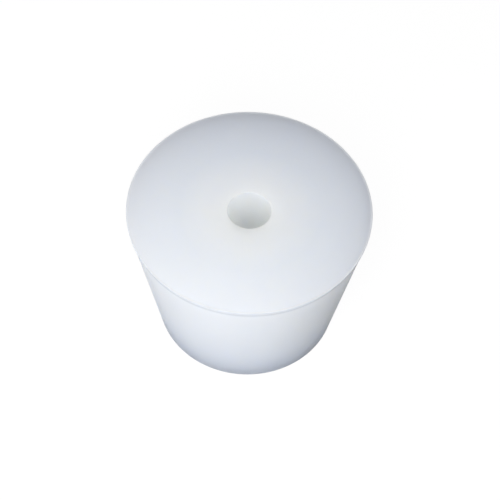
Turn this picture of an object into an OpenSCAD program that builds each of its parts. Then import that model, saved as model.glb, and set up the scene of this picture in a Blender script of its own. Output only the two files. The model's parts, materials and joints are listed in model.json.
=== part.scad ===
// Tapered stopper of milky silicone rubber with one bore down its middle.
// The wide end is up, and the origin is at the centre of the narrow end's flat face.

/* [Body] */
// Diameter over the lip around the wide end
top_d = 44; // [38:0.5:56]
// Diameter of the narrow end, where its flat face and the taper would meet
bottom_d = 32; // [24:0.5:36]
// Height over all
height = 30; // [20:0.5:45]
// Rounding of the edge around the narrow end
foot_round = 0.8; // [0.3:0.1:2]

/* [Rim lip] */
// Height of the thin lip that the parting of the mould leaves around the wide end
lip_h = 0.3; // [0.24:0.02:0.8]
// How far the lip stands proud of the tapered wall
lip_proud = 0.2; // [0.15:0.05:0.4]
// Rounding of the lip's upper and lower edge
lip_round = 0.1; // [0.04:0.02:0.1]

/* [Bore] */
// Diameter of the bore that grips a tube
bore_d = 7.8; // [5:0.1:12]
// Rounding of the bore's two mouths
mouth_round = 0.1; // [0.1:0.1:1.5]

/* [Hidden] */
$fn = 180;
milky_silicone = [0.88, 0.91, 0.95];

top_r = top_d / 2;
bottom_r = bottom_d / 2;
bore_r = bore_d / 2;

// The wall runs straight up to the underside of the lip
lip_z = height - lip_h;
wall_r = top_r - lip_proud;
// Lean of the wall from the vertical
taper = atan((wall_r - bottom_r) / lip_z);
// Centre of the rounding that is tangent to the narrow end's face and to the wall
foot_centre = [bottom_r - foot_round * tan((90 - taper) / 2), foot_round];
// The wall starts this far inside that rounding, so that the two meet in one clean edge
lap = 0.001;

// Half of the stopper cut through its axis: straight edges, then the circles that round its corners
module half_section() {
    polygon([
        [bore_r, mouth_round],
        [bore_r + mouth_round, 0],
        [foot_centre.x, 0],
        foot_centre + (foot_round - lap) * [cos(taper), -sin(taper)],
        [wall_r, lip_z],
        [top_r - lip_round, lip_z],
        [top_r, lip_z + lip_round],
        [top_r, height - lip_round],
        [top_r - lip_round, height],
        [bore_r + mouth_round, height],
        [bore_r, height - mouth_round],
    ]);
    translate(foot_centre)
        circle(r = foot_round);
    for (z = [lip_z + lip_round, height - lip_round])
        translate([top_r - lip_round, z])
            circle(r = lip_round);
    for (z = [mouth_round, height - mouth_round])
        translate([bore_r + mouth_round, z])
            circle(r = mouth_round);
}

module stopper() {
    color(milky_silicone)
        rotate_extrude()
            half_section();
}

stopper();
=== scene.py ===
"""The look of a milky silicone stopper: its moulded body, its finish, a plain studio and the camera."""
import json
import math

import bpy
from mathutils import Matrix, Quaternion, Vector, noise


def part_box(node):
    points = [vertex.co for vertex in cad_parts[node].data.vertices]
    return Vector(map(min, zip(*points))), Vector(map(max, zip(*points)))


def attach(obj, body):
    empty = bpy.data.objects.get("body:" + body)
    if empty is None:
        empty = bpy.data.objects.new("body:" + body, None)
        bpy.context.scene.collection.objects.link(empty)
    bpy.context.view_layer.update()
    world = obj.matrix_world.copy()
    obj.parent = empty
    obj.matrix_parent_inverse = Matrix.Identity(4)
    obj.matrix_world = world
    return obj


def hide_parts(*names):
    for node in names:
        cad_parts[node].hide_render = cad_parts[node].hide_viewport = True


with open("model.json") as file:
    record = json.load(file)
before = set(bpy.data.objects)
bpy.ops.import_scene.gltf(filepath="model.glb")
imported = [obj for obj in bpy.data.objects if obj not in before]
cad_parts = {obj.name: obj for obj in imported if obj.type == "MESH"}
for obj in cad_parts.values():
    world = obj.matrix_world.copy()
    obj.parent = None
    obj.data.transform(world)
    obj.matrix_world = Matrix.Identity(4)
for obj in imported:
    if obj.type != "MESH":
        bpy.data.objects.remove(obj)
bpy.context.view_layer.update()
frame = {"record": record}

MM = 0.001

# Sizes that the frame gives
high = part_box("stopper")[1]
HEIGHT = high.z
TOP_R = high.y
bore_mount = next(m for m in frame["record"]["mounts"] if m["name"] == "bore")
BORE_R = bore_mount["dims"]["r_mm"] * MM
MOUTH_ROUND = (HEIGHT - bore_mount["dims"]["length_mm"] * MM) / 2

# Sizes of the section that the frame doesn't state
BOTTOM_R = 16.0 * MM
FOOT_ROUND = 0.8 * MM
LIP_HEIGHT = 0.3 * MM
LIP_PROUD = 0.2 * MM
LIP_ROUND = 0.1 * MM
LIP_Z = HEIGHT - LIP_HEIGHT
WALL_R = TOP_R - LIP_PROUD
TAPER = math.atan((WALL_R - BOTTOM_R) / LIP_Z)

# How far a trimmed lip and a soft moulded face stray from the true form, always into the solid
LIP_TRIM = 0.04 * MM
LIP_WAVE = 9.0 * MM
LIP_SEED = 3
FACE_SINK = 0.02 * MM
FACE_WAVE = 8.0 * MM
FACE_SEED = 11

# Fineness of the mesh, and the angle from which an edge stays crisp
SEGMENTS = 288
ARC_STEPS = 8
LIP_STEPS = 5
UNDER_LIP_SHADE_STEPS = 8
ROW = 1.0 * MM
CRISP_ANGLE = math.radians(35)

# Light inside the silicone: how far each colour wanders, and how much of the light does so
SCATTER_LENGTH = 50.0 * MM
SCATTER_RADIUS = (1.2, 1.05, 0.8)
SCATTER_SHARE = 0.6
BORE_SHARE = 0.95
NEAR_SHARE = 0.8
MOUTH_SHARE = 0.44
LIP_SHARE = 0.05
MOUTH_FADE = 3.0 * MM

# Tint of the silicone, blue-white outwards, with a slight cloudiness; towards the bore it is painted paler
# and less blue, painted light that has wandered through the rubber and comes out there
BORE_LIGHT_TINT = (0.972, 0.988, 0.998)
OUTER_TINT = (0.84, 0.89, 0.985)
BLUE_FROM_R = 13.0 * MM
CLOUD_SCALE = 120.0
CLOUD_DETAIL = 3.0
CLOUD_DRIFT = 0.1

# Light that has come far through the rubber, deep in the bore, is warmer
DEEP_TINT = (0.985, 0.985, 0.962)
DEEP_FROM = 10.0 * MM

# Painted shade: the lip's ring of the face is painted greyer and less blue, for how light shows in the thin
# lip and to dim its edge; the lip's edge, and a line under the lip, are painted greyer where shade falls
LIP_SHADE_TINT = (0.79, 0.81, 0.85)
LIP_WIDTH = 0.5 * MM
UNDER_LIP_SHADE_TINT = (0.67, 0.725, 0.82)
UNDER_LIP_SHADE_DROP = 0.9 * MM
UNDER_LIP_SHADE_SPREAD = 0.8 * MM

# The lip's upper edge: how much painted shade it gets, how much of the lip's painted grey it drops as painted
# light let through the thin edge, and where the painted shade is full and gone, counted in roundings down
# from the face
EDGE_SHADE_SHARE = 0.75
EDGE_GLOW = 0.7
EDGE_FULL = 1 / 3
EDGE_GONE = 2.0

# Satin skin
REFRACTION = 1.41
SHINE = 0.15
GRAIN_SCALE = 2500.0
GRAIN_DETAIL = 2.0
GRAIN_STRENGTH = 0.15
GRAIN_HEIGHT = 0.02 * MM
LEAST_ROUGHNESS = 0.58
MOST_ROUGHNESS = 0.72

# Camera, measured from the centre of the wide end's face; lens and sensor are in millimetres
VIEW_DISTANCE = 518.5 * MM
VIEW_ELEVATION = math.radians(55.01)
VIEW_ROLL = math.radians(2.07)
VIEW_AIM = Vector((0.347, -8.522, 0.0)) * MM
SENSOR = 36.0
LENS = 209.6
CLIP_START = 0.01
CLIP_END = 20.0

# Studio, in metres; a strength of 1 is white
FLOOR_SIZE = 4.0
FLOOR_DROP = 0.02 * MM
FLOOR_BOUNCE = 0.5
FLOOR_GLOW = 0.94
FLOOR_PAINT = 0.1
FILL = 0.12
WHITE = 1.0
LAMP_DISTANCE = 0.3
LAMP_SIZE = 0.2
NEAR_LAMP_DISTANCE = 0.1
NEAR_LAMP_SIZE = 0.06
BOUNCES = 32

# The range of a share
WHOLE = (0.0, 1.0)


def arc(centre, radius, start, end, steps):
    """Points along an arc in the section plane, angles in degrees, both ends included."""
    points = []
    for i in range(steps + 1):
        a = math.radians(start + (end - start) * i / steps)
        points.append((centre[0] + radius * math.cos(a), centre[1] + radius * math.sin(a)))
    return points


def between(a, b):
    """Points strictly between two ends of a straight edge, about one row apart."""
    steps = max(1, round(math.dist(a, b) / ROW))
    return [
        (a[0] + (b[0] - a[0]) * i / steps, a[1] + (b[1] - a[1]) * i / steps)
        for i in range(1, steps)
    ]


def under_lip_shade_rows():
    """Points up the last of the wall to the root of the lip, close enough for the painted shade under the lip
    to fade.
    """
    points = []
    for i in range(UNDER_LIP_SHADE_STEPS + 1):
        below = (UNDER_LIP_SHADE_DROP + UNDER_LIP_SHADE_SPREAD) * (1 - i / UNDER_LIP_SHADE_STEPS)
        points.append((WALL_R - below * math.tan(TAPER), LIP_Z - below))
    return points


def half_section(trim):
    """The section's outline, counter-clockwise from the bore's lower mouth; trim shortens the rim's lip."""
    lean = math.degrees(TAPER)
    foot_centre = (BOTTOM_R - FOOT_ROUND * math.tan((math.pi / 2 - TAPER) / 2), FOOT_ROUND)
    lip_r = TOP_R - trim - LIP_ROUND
    mouth_r = BORE_R + MOUTH_ROUND
    edges = [
        arc((mouth_r, MOUTH_ROUND), MOUTH_ROUND, 180, 270, ARC_STEPS),
        arc(foot_centre, FOOT_ROUND, -90, -lean, ARC_STEPS),
        under_lip_shade_rows(),
        arc((lip_r, LIP_Z + LIP_ROUND), LIP_ROUND, -90, 0, LIP_STEPS),
        arc((lip_r, HEIGHT - LIP_ROUND), LIP_ROUND, 0, 90, LIP_STEPS),
        [(TOP_R - LIP_WIDTH, HEIGHT)],
        arc((mouth_r, HEIGHT - MOUTH_ROUND), MOUTH_ROUND, 90, 180, ARC_STEPS),
    ]
    outline = []
    for edge, following in zip(edges, edges[1:] + edges[:1]):
        outline += edge + between(edge[-1], following[0])
    return outline


def wave(place, size, seed):
    """Smooth unevenness from 0 to 1, with bumps of about the given size."""
    return 0.5 + 0.5 * noise.noise(place / size + Vector((0, 0, seed)))


def clamp(value):
    """The value, kept from 0 to 1."""
    return max(0.0, min(1.0, value))


def ease(value):
    """The value, kept from 0 to 1, with a soft start and a soft end."""
    held = clamp(value)
    return held * held * (3 - 2 * held)


def axis_distance(point):
    """How far a point is from the stopper's axis."""
    return math.hypot(point.x, point.y)


def deep_share(point):
    """0 at the bore's mouths and everywhere outside it, rising to 1 deep inside the bore."""
    if axis_distance(point) > BORE_R + MOUTH_ROUND / 2:
        return 0.0
    return clamp(min(point.z, HEIGHT - point.z) / DEEP_FROM)


def lip_share(point):
    """1 on the face at the lip's edge, fading to 0 across the lip's width and to less over its edge."""
    if point.z < LIP_Z + LIP_ROUND / 2:
        return 0.0
    outwards = clamp((axis_distance(point) - (TOP_R - LIP_WIDTH)) / (LIP_WIDTH - LIP_ROUND))
    return outwards * (1 - EDGE_GLOW * clamp((HEIGHT - point.z) / LIP_ROUND))


def under_lip_shade_share(point):
    """Painted shade: 1 in the line under the lip, fading up and down the wall, and less than 1 over the lip's
    upper edge.
    """
    if axis_distance(point) < BOTTOM_R:
        return 0.0
    if point.z > LIP_Z + LIP_ROUND / 2:
        below = (HEIGHT - point.z) / LIP_ROUND
        return EDGE_SHADE_SHARE * clamp(min(below / EDGE_FULL, EDGE_GONE - below))
    return 1 - ease(abs(LIP_Z - UNDER_LIP_SHADE_DROP - point.z) / UNDER_LIP_SHADE_SPREAD)


def turned_section():
    """Rings of points: the half section at each step around the axis, with a lip of uneven trim."""
    rings = []
    for i in range(SEGMENTS):
        a = 2 * math.pi * i / SEGMENTS
        out = Vector((math.cos(a), math.sin(a), 0))
        trim = LIP_TRIM * wave(out * TOP_R, LIP_WAVE, LIP_SEED)
        rings.append([out * r + Vector((0, 0, z)) for r, z in half_section(trim)])
    return rings


def ring_faces(count):
    """Faces with four corners between each ring of so many points and the next one around."""
    faces = []
    for i in range(SEGMENTS):
        here = i * count
        there = (i + 1) % SEGMENTS * count
        for j in range(count):
            k = (j + 1) % count
            faces.append((here + j, there + j, there + k, here + k))
    return faces


def body_mesh():
    """The turned section as a mesh with faintly sunken faces, which carries the shares for its material."""
    rings = turned_section()
    points = [point for ring in rings for point in ring]
    mesh = bpy.data.meshes.new("silicone_body")
    mesh.from_pydata(points, [], ring_faces(len(rings[0])))
    mesh.update()
    outward = [vertex.normal.copy() for vertex in mesh.vertices]
    for vertex, direction in zip(mesh.vertices, outward):
        vertex.co -= direction * FACE_SINK * wave(vertex.co, FACE_WAVE, FACE_SEED)
    # The shares mask painted warm light deep in the bore, painted shade on the lip and painted shade in a
    # line under it; two of them also set how much light wanders
    for name, share in (("deep", deep_share), ("lip", lip_share), ("under_lip_shade", under_lip_shade_share)):
        layer = mesh.attributes.new(name, "FLOAT", "POINT")
        layer.data.foreach_set("value", [share(point) for point in points])
    mesh.shade_smooth()
    mesh.set_sharp_from_angle(angle=CRISP_ANGLE)
    return mesh


def grey(level):
    """A neutral colour."""
    return (level, level, level, 1)


def off_axis(tree, place):
    """Socket with the distance from the stopper's axis."""
    flat = tree.nodes.new("ShaderNodeVectorMath")
    flat.operation = "MULTIPLY"
    flat.inputs[1].default_value = (1, 1, 0)
    tree.links.new(place, flat.inputs[0])
    length = tree.nodes.new("ShaderNodeVectorMath")
    length.operation = "LENGTH"
    tree.links.new(flat.outputs["Vector"], length.inputs[0])
    return length.outputs["Value"]


def cloudy(tree, place, scale, detail):
    """Socket with soft noise from 0 to 1."""
    cloud = tree.nodes.new("ShaderNodeTexNoise")
    cloud.inputs["Scale"].default_value = scale
    cloud.inputs["Detail"].default_value = detail
    tree.links.new(place, cloud.inputs["Vector"])
    return cloud.outputs["Fac"]


def remap(tree, value, source, target):
    """Socket that turns the source range into the target range and stops at its ends."""
    ranges = tree.nodes.new("ShaderNodeMapRange")
    ranges.inputs["From Min"].default_value = source[0]
    ranges.inputs["From Max"].default_value = source[1]
    ranges.inputs["To Min"].default_value = target[0]
    ranges.inputs["To Max"].default_value = target[1]
    tree.links.new(value, ranges.inputs["Value"])
    return ranges.outputs["Result"]


def blended(tree, kind, start, own_values):
    """Socket that goes from the start towards each own value, as far as the mesh's share of it says."""
    result = start
    for name, own_value in own_values:
        share = tree.nodes.new("ShaderNodeAttribute")
        share.attribute_name = name
        blend = tree.nodes.new("ShaderNodeMix")
        blend.data_type = kind
        tree.links.new(share.outputs["Fac"], blend.inputs["Factor"])
        tree.links.new(result, blend.inputs["A"])
        blend.inputs["B"].default_value = own_value
        result = blend.outputs["Result"]
    return result


def tint(tree, place, radius):
    """Socket with the colour: blue-white outwards, painted paler towards the bore as painted light, painted
    warmer light deep in the bore, and painted shade on the lip and under it.
    """
    outward = remap(tree, radius, (BORE_R, BLUE_FROM_R), WHOLE)
    cloud = cloudy(tree, place, CLOUD_SCALE, CLOUD_DETAIL)
    drift = remap(tree, cloud, WHOLE, (-CLOUD_DRIFT, CLOUD_DRIFT))
    shade = tree.nodes.new("ShaderNodeMath")
    shade.operation = "ADD"
    tree.links.new(outward, shade.inputs[0])
    tree.links.new(drift, shade.inputs[1])
    ramp = tree.nodes.new("ShaderNodeValToRGB")
    # The first stop is painted light: paler and less blue near the bore
    ramp.color_ramp.elements[0].color = (*BORE_LIGHT_TINT, 1)
    ramp.color_ramp.elements[1].color = (*OUTER_TINT, 1)
    tree.links.new(shade.outputs["Value"], ramp.inputs["Fac"])
    # Painted warm light deep in the bore, painted shade on the lip, and painted shade in a line under the lip
    own_tints = [("deep", (*DEEP_TINT, 1)), ("lip", (*LIP_SHADE_TINT, 1)), ("under_lip_shade", (*UNDER_LIP_SHADE_TINT, 1))]
    return blended(tree, "RGBA", ramp.outputs["Color"], own_tints)


def scatter_share(tree, radius):
    """Socket with how much light wanders: most deep in the bore, less at its mouths, little in the lip."""
    off_bore = remap(tree, radius, (BORE_R, BORE_R + MOUTH_FADE), WHOLE)
    ramp = tree.nodes.new("ShaderNodeValToRGB")
    stops = ramp.color_ramp.elements
    # The bore's wall is sunk by up to this much, and all of it takes the first stop's share
    stops[0].position = FACE_SINK / MOUTH_FADE
    stops[0].color = grey(NEAR_SHARE)
    stops[1].color = grey(SCATTER_SHARE)
    mouth = stops.new(MOUTH_ROUND / MOUTH_FADE)
    mouth.color = grey(MOUTH_SHARE)
    tree.links.new(off_bore, ramp.inputs["Fac"])
    return blended(tree, "FLOAT", ramp.outputs["Color"], [("deep", BORE_SHARE), ("lip", LIP_SHARE)])


def satin_skin(tree, place, shader):
    """Fine grain that changes the skin's roughness and raises it slightly."""
    grain = cloudy(tree, place, GRAIN_SCALE, GRAIN_DETAIL)
    roughness = remap(tree, grain, WHOLE, (LEAST_ROUGHNESS, MOST_ROUGHNESS))
    tree.links.new(roughness, shader.inputs["Roughness"])
    bump = tree.nodes.new("ShaderNodeBump")
    bump.inputs["Strength"].default_value = GRAIN_STRENGTH
    bump.inputs["Distance"].default_value = GRAIN_HEIGHT
    tree.links.new(grain, bump.inputs["Height"])
    tree.links.new(bump.outputs["Normal"], shader.inputs["Normal"])


def silicone():
    """Milky silicone rubber: light wanders far inside it, and its moulded skin is satin."""
    material = bpy.data.materials.new("milky_silicone")
    material.use_nodes = True
    tree = material.node_tree
    shader = tree.nodes["Principled BSDF"]
    shader.subsurface_method = "RANDOM_WALK"
    shader.inputs["Subsurface Radius"].default_value = SCATTER_RADIUS
    shader.inputs["Subsurface Scale"].default_value = SCATTER_LENGTH
    shader.inputs["IOR"].default_value = REFRACTION
    shader.inputs["Specular IOR Level"].default_value = SHINE
    place = tree.nodes.new("ShaderNodeTexCoord").outputs["Object"]
    radius = off_axis(tree, place)
    tree.links.new(tint(tree, place, radius), shader.inputs["Base Color"])
    tree.links.new(scatter_share(tree, radius), shader.inputs["Subsurface Weight"])
    satin_skin(tree, place, shader)
    return material


def seen_directly(tree):
    """Socket that is 1 for rays that show the background: camera, glossy and transmission rays."""
    path = tree.nodes.new("ShaderNodeLightPath")
    total = path.outputs["Is Camera Ray"]
    for ray in ("Is Glossy Ray", "Is Transmission Ray"):
        add = tree.nodes.new("ShaderNodeMath")
        add.operation = "ADD"
        add.use_clamp = True
        tree.links.new(total, add.inputs[0])
        tree.links.new(path.outputs[ray], add.inputs[1])
        total = add.outputs["Value"]
    return total


def set_surface(tree, out, lighting, shown):
    """Give an output one shader for the light that it sends back and another for how it shows."""
    choice = tree.nodes.new("ShaderNodeMixShader")
    tree.links.new(seen_directly(tree), choice.inputs["Fac"])
    tree.links.new(lighting, choice.inputs[1])
    tree.links.new(shown, choice.inputs[2])
    tree.links.new(choice.outputs["Shader"], out.inputs["Surface"])


def matte(tree, level):
    """Socket of a plain grey paint."""
    paint = tree.nodes.new("ShaderNodeBsdfDiffuse")
    paint.inputs["Color"].default_value = grey(level)
    return paint.outputs["BSDF"]


def floor_material():
    """Pale floor: it shows as white with a light shadow, and it sends back a softer light."""
    material = bpy.data.materials.new("pale_floor")
    material.use_nodes = True
    tree = material.node_tree
    tree.nodes.clear()
    out = tree.nodes.new("ShaderNodeOutputMaterial")
    glow = tree.nodes.new("ShaderNodeEmission")
    glow.inputs["Strength"].default_value = FLOOR_GLOW
    shown = tree.nodes.new("ShaderNodeAddShader")
    tree.links.new(glow.outputs["Emission"], shown.inputs[0])
    tree.links.new(matte(tree, FLOOR_PAINT), shown.inputs[1])
    set_surface(tree, out, matte(tree, FLOOR_BOUNCE), shown.outputs["Shader"])
    return material


def even_white(tree, strength):
    """Socket of a white background of the given strength."""
    background = tree.nodes.new("ShaderNodeBackground")
    background.inputs["Color"].default_value = grey(1)
    background.inputs["Strength"].default_value = strength
    return background.outputs["Background"]


def world_light():
    """White where it shows, and a dim even fill for everything else."""
    world = bpy.data.worlds.new("studio")
    world.use_nodes = True
    tree = world.node_tree
    tree.nodes.clear()
    out = tree.nodes.new("ShaderNodeOutputWorld")
    set_surface(tree, out, even_white(tree, FILL), even_white(tree, WHITE))
    bpy.context.scene.world = world


def soft_lamp(name, azimuth, elevation, level, distance=LAMP_DISTANCE, size=LAMP_SIZE):
    """Square soft box aimed at the stopper; level is about the white it gives a surface that faces it."""
    lamp = bpy.data.lights.new(name, "AREA")
    lamp.size = size
    # A small lamp's light on a facing surface is energy / (pi * distance^2), and white needs pi
    lamp.energy = level * math.pi * math.pi * distance * distance
    holder = bpy.data.objects.new(name, lamp)
    a = math.radians(azimuth)
    e = math.radians(elevation)
    aim = Vector((0, 0, HEIGHT / 2))
    holder.location = aim + distance * Vector(
        (math.cos(e) * math.cos(a), math.cos(e) * math.sin(a), math.sin(e))
    )
    holder.rotation_euler = (aim - holder.location).to_track_quat("-Z", "Y").to_euler()
    bpy.context.scene.collection.objects.link(holder)


def camera():
    """The photograph's view: distant, from above the front, rolled slightly."""
    top_centre = Vector((0, 0, HEIGHT))
    eye = top_centre + VIEW_DISTANCE * Vector(
        (0, -math.cos(VIEW_ELEVATION), math.sin(VIEW_ELEVATION))
    )
    lens = bpy.data.cameras.new("camera")
    lens.sensor_width = SENSOR
    lens.lens = LENS
    lens.clip_start = CLIP_START
    lens.clip_end = CLIP_END
    holder = bpy.data.objects.new("camera", lens)
    holder.location = eye
    look = (top_centre + VIEW_AIM - eye).to_track_quat("-Z", "Y")
    holder.rotation_euler = (look @ Quaternion((0, 0, 1), VIEW_ROLL)).to_euler()
    bpy.context.scene.collection.objects.link(holder)
    bpy.context.scene.camera = holder


# The stopper
body = bpy.data.objects.new("silicone_body", body_mesh())
body.data.materials.append(silicone())
bpy.context.scene.collection.objects.link(body)
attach(body, "root")
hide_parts("stopper")

# The floor
bpy.ops.mesh.primitive_plane_add(size=FLOOR_SIZE, location=(0, 0, -FLOOR_DROP))
floor = bpy.context.object
floor.name = "floor"
floor.data.materials.append(floor_material())

# Light and camera; the front is at azimuth -90
world_light()
soft_lamp("top_front", azimuth=-90, elevation=60, level=0.57)
soft_lamp("top_left", azimuth=-120, elevation=60, level=0.13)
soft_lamp("front", azimuth=-90, elevation=35, level=0.3)
soft_lamp("left_front", azimuth=-120, elevation=10, level=0.32)
soft_lamp(
    "left", azimuth=-180, elevation=20, level=0.14, distance=NEAR_LAMP_DISTANCE, size=NEAR_LAMP_SIZE
)
camera()
scene = bpy.context.scene
scene.view_settings.view_transform = "Standard"
# Light passes many times through milky rubber and across the bore before it comes out
scene.cycles.max_bounces = BOUNCES
scene.cycles.diffuse_bounces = BOUNCES
